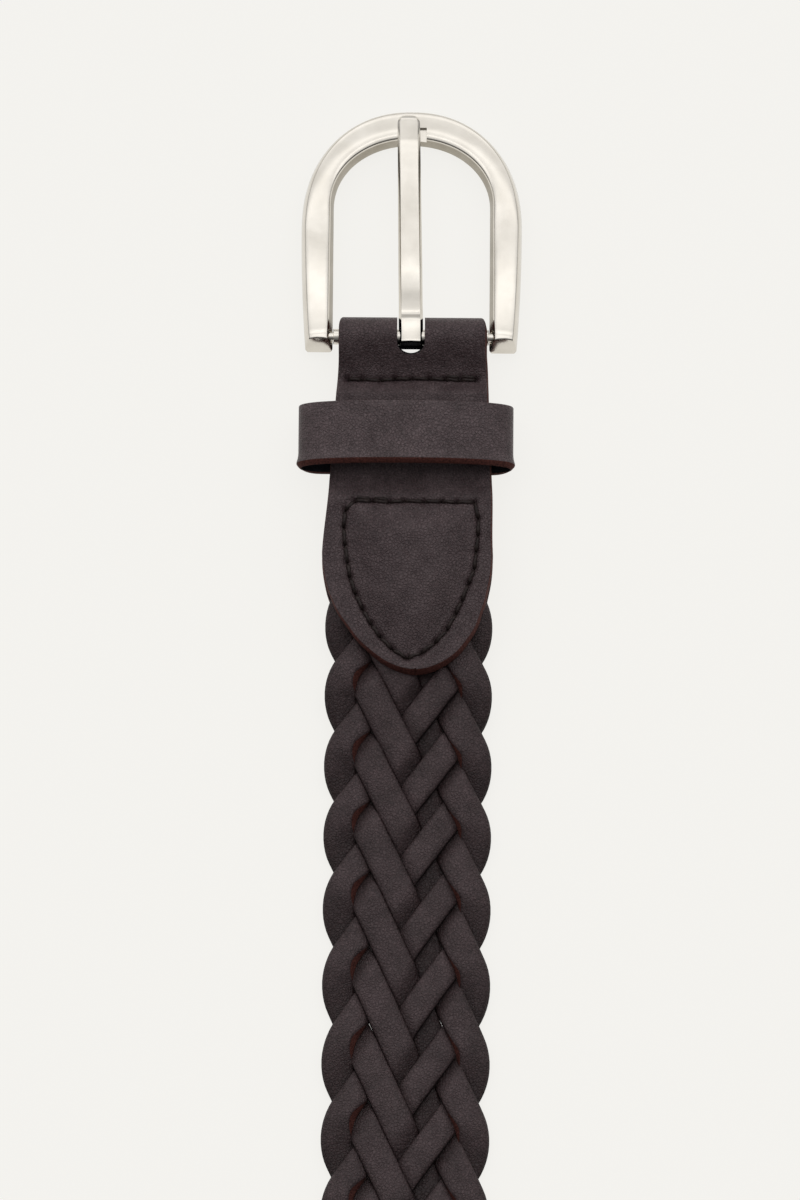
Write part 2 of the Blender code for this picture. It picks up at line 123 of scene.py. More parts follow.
sky = bpy.data.worlds.new("studio_sky")
sky.use_nodes = True
scene.world = sky
tree = sky.node_tree
tree.nodes.clear()
heading = add_node(tree, "TexCoord")
axes = add_node(tree, "SeparateXYZ", [(0, heading.outputs["Generated"])])
lean = add_node(tree, "Math", [(0, axes.outputs["Y"]), (1, axes.outputs["Z"])], operation="ARCTAN2")
share = add_node(tree, "MapRange", [("Value", lean.outputs[0]), ("From Min", -pi / 2), ("From Max", pi / 2)])
bands = add_node(tree, "ValToRGB", [("Fac", share.outputs[0])])
brightest = max(row[1] for row in SKY_BANDS)
fill_ramp(bands, [((degrees + 90) / 180, (level / brightest,) * 3) for degrees, level in SKY_BANDS])
sideways = add_node(tree, "Math", [(0, axes.outputs["X"])], operation="ABSOLUTE")
fade = add_node(
    tree,
    "MapRange",
    [
        ("Value", sideways.outputs[0]),
        ("From Min", SIDE_FADE_START),
        ("From Max", SIDE_FADE_END),
        ("To Min", brightest),
        ("To Max", brightest * SIDE_SHADE),
    ],
    interpolation_type="SMOOTHSTEP",
)
light = add_node(tree, "Background", [("Color", bands.outputs[0]), ("Strength", fade.outputs[0])])
add_node(tree, "OutputWorld", [("Surface", light.outputs[0])])

bpy.ops.object.camera_add()
camera = bpy.context.object
camera.data.lens = CAMERA_LENS
camera.data.sensor_width = CAMERA_SENSOR
camera.data.clip_end = 200.0
lean_angle = radians(90.0 - CAMERA_HEIGHT_DEG)
distance = VIEW_HEIGHT * CAMERA_LENS / CAMERA_SENSOR
camera.location = VIEW_CENTRE + distance * Vector((0.0, -sin(lean_angle), cos(lean_angle)))
camera.rotation_mode = "ZYX"
camera.rotation_euler = (lean_angle, 0.0, radians(CAMERA_ROLL_DEG))
scene.camera = camera


# Buckle tab
# One piece of dark brown leather, folded round the buckle's bar and stitched down twice, with a
# padded shield over the end of the braid. Its edges are cut raw, and show the red brown core.
hinge = frame["record"]["behaviour"]["joints"][0]["pos_m"]
BAR_Y = hinge[1]
BAR_Z = hinge[2]
GAP = 0.0003
LEATHER = 0.0020
TAB_WIDTH_AT_BAR = 0.0312
TAB_WIDTH = 0.0358
TAB_SHOULDER = 0.0476
TAB_LENGTH = 0.0736
TAB_TIP_ROUND = 1.88
FOLD_INNER = BAR_Z - LEATHER
FOLD_CORNER = 0.0007
STITCH_ROW = 0.0093
KEEPER_START = 0.0158
KEEPER_END = 0.0294
KEEPER_LEATHER = 0.0015
SHIELD_START = 0.0368
OVER_PLY = LEATHER + GAP
OVER_KEEPER = OVER_PLY + KEEPER_LEATHER + GAP
OVER_BRAID = 0.0061
TIP_SLANT = 0.0008
SIDE_SLANT = 0.0004
TIP_CURL = 0.0009
CURL_START = 0.84
CURL_END = 1.02
CURL_RUN = 0.6
SHIELD_HALF = 0.0140
SHIELD_WIDEST = 0.0435
SHIELD_REACH = 0.0275
SHIELD_ROUND = 0.80
SHIELD_TOP = 0.0365
SHIELD_FOOT = 0.0705
SHIELD_PAD = 0.0019
PAD_SLOPE = 0.0078
ROW_HALF = 0.0137
ROW_RISE = 0.0003
STITCH_PITCH = 0.0036
SEAM_STEP = 0.0002
GROOVE_DEPTH = 0.00040
GROOVE_WIDTH = 0.00055
HOLE_DEPTH = 0.00080
HOLE_WIDTH = 0.00060
HOLE_SLIP = 0.0006
SLOT_WIDTH = 0.0058
SLOT_END = 0.0044
SLOT_SLANT = 0.32
SLOT_LIFT = 0.0025
SLOT_MOUTH = 0.016
SLOT_CUT = 0.03
TAB_SHIFT = (
    # distance from the bar, how far the tab sits off the belt's middle line
    (-0.010, 0.00045),
    (0.003, 0.00045),
    (0.007, 0.00055),
    (0.016, 0.00040),
    (0.033, 0.00020),
    (0.047, -0.00035),
    (0.055, -0.00020),
    (0.059, 0.00010),
    (0.065, 0.00085),
    (0.070, 0.00135),
    (0.080, 0.00160),
)
SHIELD_SHIFT = 0.0003
CUT_EDGE = (
    # inset from the cut line in metres, height as a share of the leather
    (0.00025, 1.00),
    (0.00007, 0.94),
    (0.00000, 0.80),
    (0.00000, 0.20),
    (0.00015, 0.00),
)
TOP_COLUMNS = 96
BACK_COLUMNS = 12
PORE_TINT = (0.5, 0.45, 0.45, 1.0)
# Tint of the painted shade on the braid's strands, where they pass under others and towards their edges.
PAINTED_SHADE_TINT = (0.32, 0.22, 0.22, 1.0)
# Near black painted shade on the strands' cut edges away from their banked turns, where they lie in the gaps
# between strands.
EDGE_PAINTED_SHADE = (0.012, 0.007, 0.007, 1.0)


def place(x, along, z):
    """A point from its side offset, its distance from the bar towards the free end, and its height."""
    return Vector((x, BAR_Y - along, z))


def smooth_step(value, low, high):
    share = min(max((value - low) / (high - low), 0.0), 1.0)
    return share * share * (3 - 2 * share)


def mix(start, end, share):
    return start + (end - start) * share


def sweep(name, rings, materials, columns, loop=False, cap=0, marks=()):
    """A skin through rings of points: a flat grid that is carried to them, and closed at its seam and ends.

    columns gives, for each face round the ring, the number of its material, and cap that of the ends.
    marks gives named values for each point of each ring, which the materials read.
    """
    around = len(rings[0])
    rows = rings + rings[:1] if loop else rings
    bpy.ops.object.select_all(action="DESELECT")
    bpy.ops.mesh.primitive_grid_add(x_subdivisions=around, y_subdivisions=len(rows) - 1, size=1)
    piece = bpy.context.object
    piece.name = name
    piece.data.name = name
    for material in materials:
        piece.data.materials.append(material)
    for vertex in piece.data.vertices:
        row, column = divmod(vertex.index, around + 1)
        vertex.co = rows[row][column % around]
    for mark, values in marks:
        layer = piece.data.attributes.new(mark, "FLOAT", "POINT")
        for number, item in enumerate(layer.data):
            row, column = divmod(number, around + 1)
            item.value = values[row][column % around]
    for face in piece.data.polygons:
        face.material_index = columns[face.index % around]
    skin_faces = len(piece.data.polygons)
    bpy.ops.object.mode_set(mode="EDIT")
    bpy.ops.mesh.select_all(action="SELECT")
    bpy.ops.mesh.remove_doubles(threshold=0.000001)
    if not loop:
        bpy.ops.mesh.fill_holes(sides=0)
    bpy.ops.mesh.select_all(action="SELECT")
    bpy.ops.mesh.normals_make_consistent(inside=False)
    bpy.ops.object.mode_set(mode="OBJECT")
    for face in piece.data.polygons[skin_faces:]:
        face.material_index = cap
    return piece


def smooth(piece, degrees):
    bpy.ops.object.select_all(action="DESELECT")
    piece.select_set(True)
    bpy.context.view_layer.objects.active = piece
    bpy.ops.object.shade_smooth_by_angle(angle=radians(degrees))


def apply_modifier(piece, kind, **settings):
    """Adds a modifier to a piece, sets it and applies it."""
    bpy.ops.object.select_all(action="DESELECT")
    piece.select_set(True)
    bpy.context.view_layer.objects.active = piece
    modifier = piece.modifiers.new(kind.lower(), kind)
    for name, value in settings.items():
        setattr(modifier, name, value)
    bpy.ops.object.modifier_apply(modifier=modifier.name)


def cut_out(piece, cutter):
    """Takes a cutter's shape out of a piece, and deletes the cutter."""
    apply_modifier(piece, "BOOLEAN", operation="DIFFERENCE", object=cutter, material_mode="TRANSFER")
    bpy.data.objects.remove(cutter, do_unlink=True)


def leather_finish(name, dark, light, grain, roughness, shade_mark=None):
    """Matt satin leather: pebbled grain, cloudy tone, small pores and, where marked, painted shade."""
    material = bpy.data.materials.new(name)
    material.use_nodes = True
    tree = material.node_tree
    shader = tree.nodes["Principled BSDF"]
    spot = add_node(tree, "TexCoord").outputs["Object"]
    cloud = add_node(
        tree, "TexNoise", [("Vector", spot), ("Scale", 190.0), ("Detail", 7.0), ("Roughness", 0.68)]
    )
    tone = add_node(tree, "ValToRGB", [("Fac", cloud.outputs["Fac"])])
    fill_ramp(tone, [(0.34, dark), (0.66, light)])
    warp = add_node(tree, "TexNoise", [("Vector", spot), ("Scale", 900.0), ("Detail", 1.0)])
    shift = add_node(tree, "VectorMath", [(0, warp.outputs["Color"]), ("Scale", 0.0006)], operation="SCALE")
    moved = add_node(tree, "VectorMath", [(0, spot), (1, shift.outputs[0])], operation="ADD")
    pebble = add_node(
        tree, "TexVoronoi", [("Vector", moved.outputs[0]), ("Scale", 1500.0)], feature="DISTANCE_TO_EDGE"
    )
    crease = add_node(
        tree,
        "MapRange",
        [("Value", pebble.outputs["Distance"]), ("From Max", 0.22)],
        interpolation_type="SMOOTHSTEP",
    )
    fine = add_node(tree, "TexNoise", [("Vector", spot), ("Scale", 2600.0), ("Detail", 3.0)])
    speckle = add_node(
        tree,
        "MapRange",
        [
            ("Value", fine.outputs["Fac"]),
            ("From Min", 0.3),
            ("From Max", 0.7),
            ("To Min", 0.62),
            ("To Max", 1.38),
        ],
    )
    relief = add_node(
        tree, "Math", [(0, fine.outputs["Fac"]), (1, 0.45), (2, crease.outputs[0])], operation="MULTIPLY_ADD"
    )
    bump = add_node(
        tree, "Bump", [("Strength", grain), ("Distance", 0.00010), ("Height", relief.outputs[0])]
    )
    dull = add_node(
        tree,
        "MapRange",
        [("Value", cloud.outputs["Fac"]), ("To Min", roughness - 0.07), ("To Max", roughness + 0.08)],
    )
    pores = add_node(
        tree, "MapRange", [("Value", crease.outputs[0]), ("To Min", 0.45), ("To Max", 0.0)]
    )
    colour = add_node(
        tree,
        "MixRGB",
        [("Fac", pores.outputs[0]), ("Color1", tone.outputs[0]), ("Color2", PORE_TINT)],
        blend_type="MULTIPLY",
    )
    colour = add_node(
        tree, "VectorMath", [(0, colour.outputs[0]), ("Scale", speckle.outputs[0])], operation="SCALE"
    )
    # Painted shade: where the mark is high, the colour is multiplied towards a deep red brown tint.
    if shade_mark:
        mark = add_node(tree, "Attribute", attribute_name=shade_mark)
        colour = add_node(
            tree,
            "MixRGB",
            [("Fac", mark.outputs["Fac"]), ("Color1", colour.outputs[0]), ("Color2", PAINTED_SHADE_TINT)],
            blend_type="MULTIPLY",
        )
    tree.links.new(colour.outputs[0], shader.inputs["Base Color"])
    tree.links.new(dull.outputs[0], shader.inputs["Roughness"])
    tree.links.new(bump.outputs[0], shader.inputs["Normal"])
    shader.inputs["Specular IOR Level"].default_value = 0.30
    return material


def raw_finish(name, dark, light, bare_mark=None):
    """The fibrous core or flesh side of cut leather; with a bare mark, its colour is painted near black as
    shade except where it is marked bare.
    """
    material = bpy.data.materials.new(name)
    material.use_nodes = True
    tree = material.node_tree
    shader = tree.nodes["Principled BSDF"]
    spot = add_node(tree, "TexCoord").outputs["Object"]
    fibre = add_node(tree, "TexNoise", [("Vector", spot), ("Scale", 2600.0), ("Detail", 3.0)])
    tone = add_node(tree, "ValToRGB", [("Fac", fibre.outputs["Fac"])])
    fill_ramp(tone, [(0.32, dark), (0.68, light)])
    bump = add_node(tree, "Bump", [("Strength", 0.6), ("Distance", 0.0001), ("Height", fibre.outputs["Fac"])])
    # Painted shade: away from the bare mark, the colour is the near black edge tint.
    if bare_mark:
        mark = add_node(tree, "Attribute", attribute_name=bare_mark)
        tone = add_node(
            tree,
            "MixRGB",
            [("Fac", mark.outputs["Fac"]), ("Color1", EDGE_PAINTED_SHADE), ("Color2", tone.outputs[0])],
        )
    tree.links.new(tone.outputs[0], shader.inputs["Base Color"])
    tree.links.new(bump.outputs[0], shader.inputs["Normal"])
    shader.inputs["Roughness"].default_value = 0.85
    shader.inputs["Specular IOR Level"].default_value = 0.2
    return material


tab_leather = leather_finish("tab_leather_face", (0.048, 0.030, 0.032), (0.092, 0.065, 0.068), 0.9, 0.42)
cut_leather = raw_finish("cut_leather", (0.036, 0.009, 0.007), (0.100, 0.032, 0.025))
flesh_leather = raw_finish("flesh_leather", (0.006, 0.006, 0.008), (0.018, 0.018, 0.023))


def eased(table, at):
    """The value of a two column table at a place, eased between its rows."""
    for (start, low), (end, high) in zip(table, table[1:]):
        if at <= end:
            return mix(low, high, smooth_step(at, start, end))
    return table[-1][1]


def tab_shift(along):
    """How far the tab lies to the right of the belt's middle line."""
    return eased(TAB_SHIFT, along)


def tab_half_width(along):
    widen = min(max((along - SLOT_END) / (TAB_SHOULDER - SLOT_END), 0.0), 1.0)
    return mix(TAB_WIDTH_AT_BAR / 2, TAB_WIDTH / 2, widen)


def front_ply_bottom(along):
    """Height of the underside of the front ply: down to the stitches, over the keeper, over the braid."""
    fold = BAR_Z + FOLD_INNER
    row_end = STITCH_ROW + 0.5 * (KEEPER_START - STITCH_ROW)
    over = (OVER_PLY - fold) * smooth_step(along, 0.0, STITCH_ROW)
    over += (OVER_KEEPER - OVER_PLY) * smooth_step(along, STITCH_ROW, row_end + GAP)
    over += (OVER_BRAID - OVER_KEEPER) * smooth_step(along, KEEPER_END + GAP, SHIELD_START)
    return fold + over


def shield_half(along):
    share = (along - SHIELD_WIDEST) / SHIELD_REACH
    return SHIELD_HALF * max(1 - share ** 2, 0.0) ** SHIELD_ROUND


def walk(line, pitch, closed=False):
    """Points at an equal pitch along a line of x and along, the pitch being fitted to the line."""
    corners = line + line[:1] if closed else line
    lengths = [0.0]
    for start, end in zip(corners, corners[1:]):
        lengths.append(lengths[-1] + hypot(end[0] - start[0], end[1] - start[1]))
    count = max(round(lengths[-1] / pitch), 1)
    points = []
    at = 0
    for k in range(count if closed else count + 1):
        goal = min(lengths[-1] * k / count, lengths[-1])
        while at < len(corners) - 2 and lengths[at + 1] < goal:
            at += 1
        share = (goal - lengths[at]) / max(lengths[at + 1] - lengths[at], 1e-9)
        points.append(tuple(mix(corners[at][axis], corners[at + 1][axis], share) for axis in (0, 1)))
    return points


SIDE_POINTS = 60
shield_side = [
    (shield_half(along), along)
    for along in (mix(SHIELD_TOP, SHIELD_FOOT, sin(pi / 2 * k / SIDE_POINTS)) for k in range(SIDE_POINTS + 1))
]
shield_line = [(x + SHIELD_SHIFT, along) for x, along in shield_side]
shield_line += [(SHIELD_SHIFT - x, along) for x, along in shield_side[::-1]]
row_line = [(SHIELD_SHIFT - ROW_HALF, STITCH_ROW), (SHIELD_SHIFT + ROW_HALF, STITCH_ROW - ROW_RISE)]
hand = Random(11)


def hand_punched(points):
    """Holes put a little off their line and pitch, as by hand."""
    punched = []
    for x, along in points:
        off_x = hand.uniform(-0.5, 0.5) * HOLE_SLIP
        off_along = hand.uniform(-0.5, 0.5) * HOLE_SLIP
        punched.append((x + off_x, along + off_along))
    return punched


shield_holes = hand_punched(walk(shield_line, STITCH_PITCH, closed=True))
row_holes = hand_punched(walk(row_line, STITCH_PITCH))


def tree_of(points):
    found = KDTree(len(points))
    for number, (x, along) in enumerate(points):
        found.insert((x, along, 0.0), number)
    found.balance()
    return found


seam_points = tree_of(walk(shield_line, SEAM_STEP, closed=True) + walk(row_line, SEAM_STEP))
hole_points = tree_of(shield_holes + row_holes)


def in_shield(x, along):
    return SHIELD_TOP < along < SHIELD_FOOT and abs(x - SHIELD_SHIFT) < shield_half(along)


def sewn_depth(seam, hole):
    """Depth of the groove and the holes, at a distance from the seam and one from the nearest hole."""
    return GROOVE_DEPTH * exp(-(seam / GROOVE_WIDTH) ** 2) + HOLE_DEPTH * exp(-(hole / HOLE_WIDTH) ** 2)


def tab_relief(x, along):
    """Groove and holes of the stitches, the padded shield inside them and the curl of the pointed end."""
    seam = seam_points.find((x, along, 0.0))[2]
    hole = hole_points.find((x, along, 0.0))[2]
    height = -sewn_depth(seam, hole)
    if in_shield(x, along):
        height += SHIELD_PAD * smooth_step(seam, 0.0, PAD_SLOPE)
    down = max(along - TAB_SHOULDER, 0.0) / (TAB_LENGTH - TAB_SHOULDER)
    rim = hypot(abs(x) / (TAB_WIDTH / 2), down)
    return height + TIP_CURL * smooth_step(rim, CURL_START, CURL_END) * smooth_step(down, 0.0, CURL_RUN)


def tab_cut(along, turn, inset, height, slant):
    """Half width and distance from the bar of the cut line: straight sides, then a rounded V."""
    pull = inset + slant * height
    if turn is None:
        return tab_half_width(along) - pull, along
    half = TAB_WIDTH / 2 - pull
    reach = TAB_LENGTH - TAB_SHOULDER - inset - TIP_SLANT * height
    return half * cos(turn) ** (2 / TAB_TIP_ROUND), TAB_SHOULDER + reach * sin(turn) ** (2 / TAB_TIP_ROUND)


def leather_ring(cut, spot):
    """A ring round a strip of leather: its face, its right edge, its back and its left edge."""
    ring = []
    right, along = cut(*CUT_EDGE[0], SIDE_SLANT)
    left, _ = cut(*CUT_EDGE[0], 0.0)
    for k in range(TOP_COLUMNS + 1):
        ring.append(spot(mix(-left, right, k / TOP_COLUMNS), along, CUT_EDGE[0][1]))
    for inset, height in CUT_EDGE[1:-1]:
        half, along = cut(inset, height, SIDE_SLANT)
        ring.append(spot(half, along, height))
    right, along = cut(*CUT_EDGE[-1], SIDE_SLANT)
    left, _ = cut(*CUT_EDGE[-1], 0.0)
    for k in range(BACK_COLUMNS + 1):
        ring.append(spot(mix(right, -left, k / BACK_COLUMNS), along, CUT_EDGE[-1][1]))
    for inset, height in CUT_EDGE[-2:0:-1]:
        half, along = cut(inset, height, 0.0)
        ring.append(spot(-half, along, height))
    return ring


edge_columns = [0] + [1] * (len(CUT_EDGE) - 2)
ring_columns = [0] * TOP_COLUMNS + edge_columns + [2] * BACK_COLUMNS + edge_columns[::-1]


def front_spot(x, along, height):
    x += tab_shift(along)
    raised = tab_relief(x, along) * smooth_step(height, 0.0, 1.0)
    return place(x, along, front_ply_bottom(along) + LEATHER * height + raised)


def back_spot(x, along, height):
    return place(x + tab_shift(along), along, LEATHER * (1 - height))


TIP_ROWS = 64
SIDE_ROWS = 118
FOLD_ROWS = 24
BACK_ROWS = 30
LAST_TURN = 0.992
tip_turns = [pi / 2 * LAST_TURN * k / TIP_ROWS for k in range(TIP_ROWS, 0, -1)]
rings = []
for turn in tip_turns:
    rings.append(leather_ring(lambda *edge, t=turn: tab_cut(0.0, t, *edge), front_spot))
for k in range(SIDE_ROWS + 1):
    along = TAB_SHOULDER * (1 - k / SIDE_ROWS)
    rings.append(leather_ring(lambda *edge, a=along: tab_cut(a, None, *edge), front_spot))
for k in range(1, FOLD_ROWS):
    turn = pi * k / FOLD_ROWS
    narrow = FOLD_CORNER * sin(turn) ** 4
    rings.append(leather_ring(
        lambda inset, height, slant: (TAB_WIDTH_AT_BAR / 2 - narrow - inset - slant * height, 0.0),
        lambda x, _, height: place(
            x + tab_shift(0.0),
            -(FOLD_INNER + LEATHER * height) * sin(turn),
            BAR_Z + (FOLD_INNER + LEATHER * height) * cos(turn),
        ),
    ))
for k in range(BACK_ROWS + 1):
    along = TAB_SHOULDER * k / BACK_ROWS
    rings.append(leather_ring(lambda *edge, a=along: tab_cut(a, None, *edge), back_spot))
for turn in tip_turns[::-2]:
    rings.append(leather_ring(lambda *edge, t=turn: tab_cut(0.0, t, *edge), back_spot))
tab = sweep("folded_tab", rings, [tab_leather, cut_leather, flesh_leather], ring_columns, cap=1)

bpy.ops.mesh.primitive_cylinder_add(
    vertices=48,
    radius=SLOT_WIDTH / 2,
    depth=SLOT_CUT,
    location=place(0, SLOT_END - SLOT_WIDTH / 2, BAR_Z + SLOT_LIFT),
)
slot_cutter = bpy.context.object
slot_cutter.data.materials.append(flesh_leather)
for vertex in slot_cutter.data.vertices:
    if vertex.co.y > 0.0001:
        vertex.co.y += SLOT_MOUTH
    vertex.co.y -= SLOT_SLANT * vertex.co.z
cut_out(tab, slot_cutter)
smooth(tab, 42)
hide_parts("buckle_tab")
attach(tab, "strap")


# Stitches of the tab
# Waxed dark thread: a row across the tab close behind the bar, and a line round the shield. Each
# stitch is a short length of two twisted plies that dives into a hole at either end.
THREAD_HALF = 0.00042
THREAD_RISE = 0.00018
THREAD_NECK = 0.35
THREAD_TWIST = 2.5 * pi
PLY_DEPTH = 0.16
STITCH_DIVE = 0.00090
STITCH_COLUMNS = 10
STITCH_ROWS = 12
BACK_STITCH_SLIP = 0.0006
waxed_thread = raw_finish("waxed_thread", (0.010, 0.006, 0.006), (0.036, 0.025, 0.023))
waxed_thread.node_tree.nodes["Principled BSDF"].inputs["Roughness"].default_value = 0.5


def stitch_rings(start, end, surface):
    """Rings along one stitch, from hole to hole, over the leather's surface."""
    run = Vector((end[0] - start[0], end[1] - start[1]))
    side = Vector((-run.y, run.x)).normalized()
    rings = []
    for row in range(STITCH_ROWS + 1):
        share = row / STITCH_ROWS
        x = start[0] + run.x * share
        along = start[1] + run.y * share
        bow = 1 - (2 * share - 1) ** 4
        thick = THREAD_HALF * mix(THREAD_NECK, 1.0, bow)
        height = surface(x, along) + THREAD_RISE - STITCH_DIVE * (1 - bow)
        ring = []
        for k in range(STITCH_COLUMNS):
            turn = 2 * pi * k / STITCH_COLUMNS
            radius = thick * (1 + PLY_DEPTH * cos(2 * turn + THREAD_TWIST * share))
            out = radius * cos(turn)
            ring.append(place(x + side.x * out, along + side.y * out, height + radius * sin(turn)))
        rings.append(ring)
    return rings


def join(name, pieces):
    bpy.ops.object.select_all(action="DESELECT")
    for piece in pieces:
        piece.select_set(True)
    bpy.context.view_layer.objects.active = pieces[0]
    bpy.ops.object.join()
    pieces[0].name = name
    pieces[0].data.name = name
    return pieces[0]


def seam_floor(x, along):
    """Height of the leather in the seam's groove, without its holes."""
    return front_ply_bottom(along) + LEATHER - GROOVE_DEPTH


def sew(name, lines, surface):
    """One stitch between each two holes of each line, joined as one piece."""
    stitches = []
    for line in lines:
        for start, end in zip(line, line[1:]):
            rings = stitch_rings(start, end, surface)
            stitches.append(sweep("stitch", rings, [waxed_thread], [0] * STITCH_COLUMNS))
    thread = join(name, stitches)
    smooth(thread, 60)
    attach(thread, "strap")


def sewn_twice(holes):
    """A second line of stitches beside some of the holes, where the thread was made fast."""
    return [(x, along - BACK_STITCH_SLIP) for x, along in holes]


sew("tab_row_stitches", [row_holes, sewn_twice(row_holes[-3:])], seam_floor)
sew("shield_stitches", [shield_holes + shield_holes[:1], sewn_twice(shield_holes[-7:-4])], seam_floor)


# Keeper loop
# An oval band of the same leather round the front ply, closed underneath between the plies. Its
# edges are cut raw, and the edge towards the braid is rolled outwards.
KEEPER_REACH = 0.0450
KEEPER_ROOM = 0.0050
KEEPER_SIDE = 0.0006
KEEPER_WAIST = 0.4
KEEPER_ROUND = 2.4
KEEPER_SLIP = -0.0009
KEEPER_ROLL = 0.0010
ROLL_WIDTH = 0.0035
KEEPER_SKIVE = 0.0011
KEEPER_UPPER = 0.35
KEEPER_FACE = 16
KEEPER_BACK = 4
KEEPER_SIDE_STEPS = 20
KEEPER_OVER_STEPS = 80
KEEPER_STEP = 0.0005


def keeper_path():
    """Middle line of the loop, from under the front ply round the right side and over the top."""
    low = OVER_PLY + KEEPER_LEATHER / 2
    high = OVER_KEEPER + LEATHER + KEEPER_ROOM + KEEPER_LEATHER / 2
    flat = tab_half_width(KEEPER_END) + KEEPER_SIDE
    reach = KEEPER_REACH / 2 - KEEPER_LEATHER / 2
    waist = low + KEEPER_WAIST * (high - low)
    half = []
    for k in range(KEEPER_SIDE_STEPS):
        turn = pi / 2 * k / KEEPER_SIDE_STEPS
        half.append((flat + (reach - flat) * sin(turn), waist - (waist - low) * cos(turn)))
    for k in range(KEEPER_OVER_STEPS + 1):
        turn = pi / 2 * k / KEEPER_OVER_STEPS
        x = reach * cos(turn) ** (2 / KEEPER_ROUND)
        half.append((x, waist + (high - waist) * sin(turn) ** (2 / KEEPER_ROUND)))
    return walk(half + [(-x, z) for x, z in half[-2::-1]], KEEPER_STEP, closed=True)


path = walk(keeper_path(), KEEPER_STEP, closed=True)
keeper_low = min(z for _, z in path)
keeper_high = max(z for _, z in path)
first_inset = CUT_EDGE[0][0]
last_inset = CUT_EDGE[-1][0]
rings = []
for k, (x, z) in enumerate(path):
    before = path[k - 1]
    after = path[(k + 1) % len(path)]
    turn = atan2(after[1] - before[1], after[0] - before[0])
    upper = smooth_step(z, keeper_low, mix(keeper_low, keeper_high, KEEPER_UPPER))
    ring = []
    skive = KEEPER_SKIVE * upper
    face_end = KEEPER_END - first_inset - skive
    face = []
    for s in range(KEEPER_FACE + 1):
        face.append((mix(face_end, KEEPER_START + first_inset, s / KEEPER_FACE), 1.0))
    near = [(KEEPER_START + inset, height) for inset, height in CUT_EDGE[1:-1]]
    back = []
    for s in range(KEEPER_BACK + 1):
        back.append((mix(KEEPER_START + last_inset, KEEPER_END - last_inset, s / KEEPER_BACK), 0.0))
    far = [(KEEPER_END - inset - skive * height, height) for inset, height in CUT_EDGE[-2:0:-1]]
    for along, height in face + near + back + far:
        roll = max(along - (KEEPER_END - ROLL_WIDTH), 0.0) / ROLL_WIDTH
        out = KEEPER_LEATHER * (height - 0.5) + KEEPER_ROLL * upper * roll ** 2
        ring.append(place(x + KEEPER_SLIP + sin(turn) * out, along, z - cos(turn) * out))
    rings.append(ring)
keeper_columns = [0] * KEEPER_FACE + edge_columns + [2] * KEEPER_BACK + edge_columns[::-1]
# Painted light: the keeper's band is the tab's leather in a lighter copy, which stands in for the light on
# its raised top.
keeper_leather_painted_light = leather_finish(
    "keeper_leather_face_painted_light", (0.064, 0.044, 0.046), (0.116, 0.084, 0.088), 0.9, 0.40
)
keeper = sweep("keeper_band", rings, [keeper_leather_painted_light, cut_leather, flesh_leather], keeper_columns, loop=True)
smooth(keeper, 42)
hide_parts("keeper_loop")
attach(keeper, "strap")


# Braid
# Seven flat strips of leather, each woven over two and under two. A strip runs across the belt and
# back in seven pitches, and is banked where it turns at the edge, so its inner cut edge shows.
STRANDS = 7
RIGHT_PITCHES = 4.23
LEFT_PITCHES = 2.77
PITCH = 0.0159
BRAID_WIDTH = 0.0348
RIGHT_RUN_WIDTH = 0.0069
LEFT_RUN_WIDTH = 0.0061
STRAND_THICKNESS = 0.0016
STRAND_RISE = 0.0019
STRAND_CROWN = 0.00040
TURN_RADIUS = 0.0112
TURN_BANK = 0.20
TURN_BARE = 0.0019
BANK_RUN = 0.0060
FIRST_TURN = 0.0106
BRAID_START = 0.0385
TIP_START = 0.927
BRAID_END = 0.965
LIFT_RUN = 0.036
LIFT_INSET = 0.012
RAMP = 0.0022
CROSSING_GAPS = (3 / 14, 1 / 2, 11 / 14)
STRAND_STEP = 0.0013
TURN_STEPS = 12
UNDER_SHADE = 0.15
EDGE_SHADE = 0.60
BARE_START = 0.15
BARE_END = 0.55
BARE_FOOT = 0.3
HAND_SLIP = (
    # distance from the bar, how far the hand drew the plait along the belt
    (0.038, 0.0020),
    (0.060, 0.0026),
    (0.078, 0.0012),
    (0.093, 0.0002),
    (0.108, -0.0008),
    (0.123, -0.0012),
    (0.138, -0.0010),
    (0.156, -0.0002),
    (0.172, 0.0),
    (1.050, 0.0),
)
STRAND_SECTION = (
    # offset across in half widths, height as a share of the thickness, material of the face after it
    (-1.00, 0.60, 1),
    (-0.97, 0.88, 0),
    (-0.86, 1.00, 0),
    (-0.58, 1.00, 0),
    (-0.20, 1.00, 0),
    (0.20, 1.00, 0),
    (0.58, 1.00, 0),
    (0.86, 1.00, 0),
    (0.97, 0.88, 1),
    (1.00, 0.60, 1),
    (1.00, 0.05, 2),
    (0.00, 0.00, 2),
    (-1.00, 0.05, 1),
)

turn_offset = BRAID_WIDTH / 2 - (RIGHT_RUN_WIDTH + LEFT_RUN_WIDTH) / 4
corner = turn_offset
for _ in range(8):
    right_angle = atan(2 * corner / (RIGHT_PITCHES * PITCH))
    left_angle = atan(2 * corner / (LEFT_PITCHES * PITCH))
    bulge = cos((right_angle - left_angle) / 2) / cos((right_angle + left_angle) / 2)
    corner = turn_offset - TURN_RADIUS + TURN_RADIUS * bulge
between = right_angle + left_angle
tangent = TURN_RADIUS * tan(between / 2)


def strand_lift(along):
    """The braid rests on the table, and rises onto the back ply at each end."""
    at_tab = 1 - smooth_step(along, TAB_LENGTH - LIFT_INSET, TAB_LENGTH + LIFT_RUN)
    at_tip = smooth_step(along, TIP_START - LIFT_RUN, TIP_START + LIFT_INSET)
    return OVER_PLY * max(at_tab, at_tip)


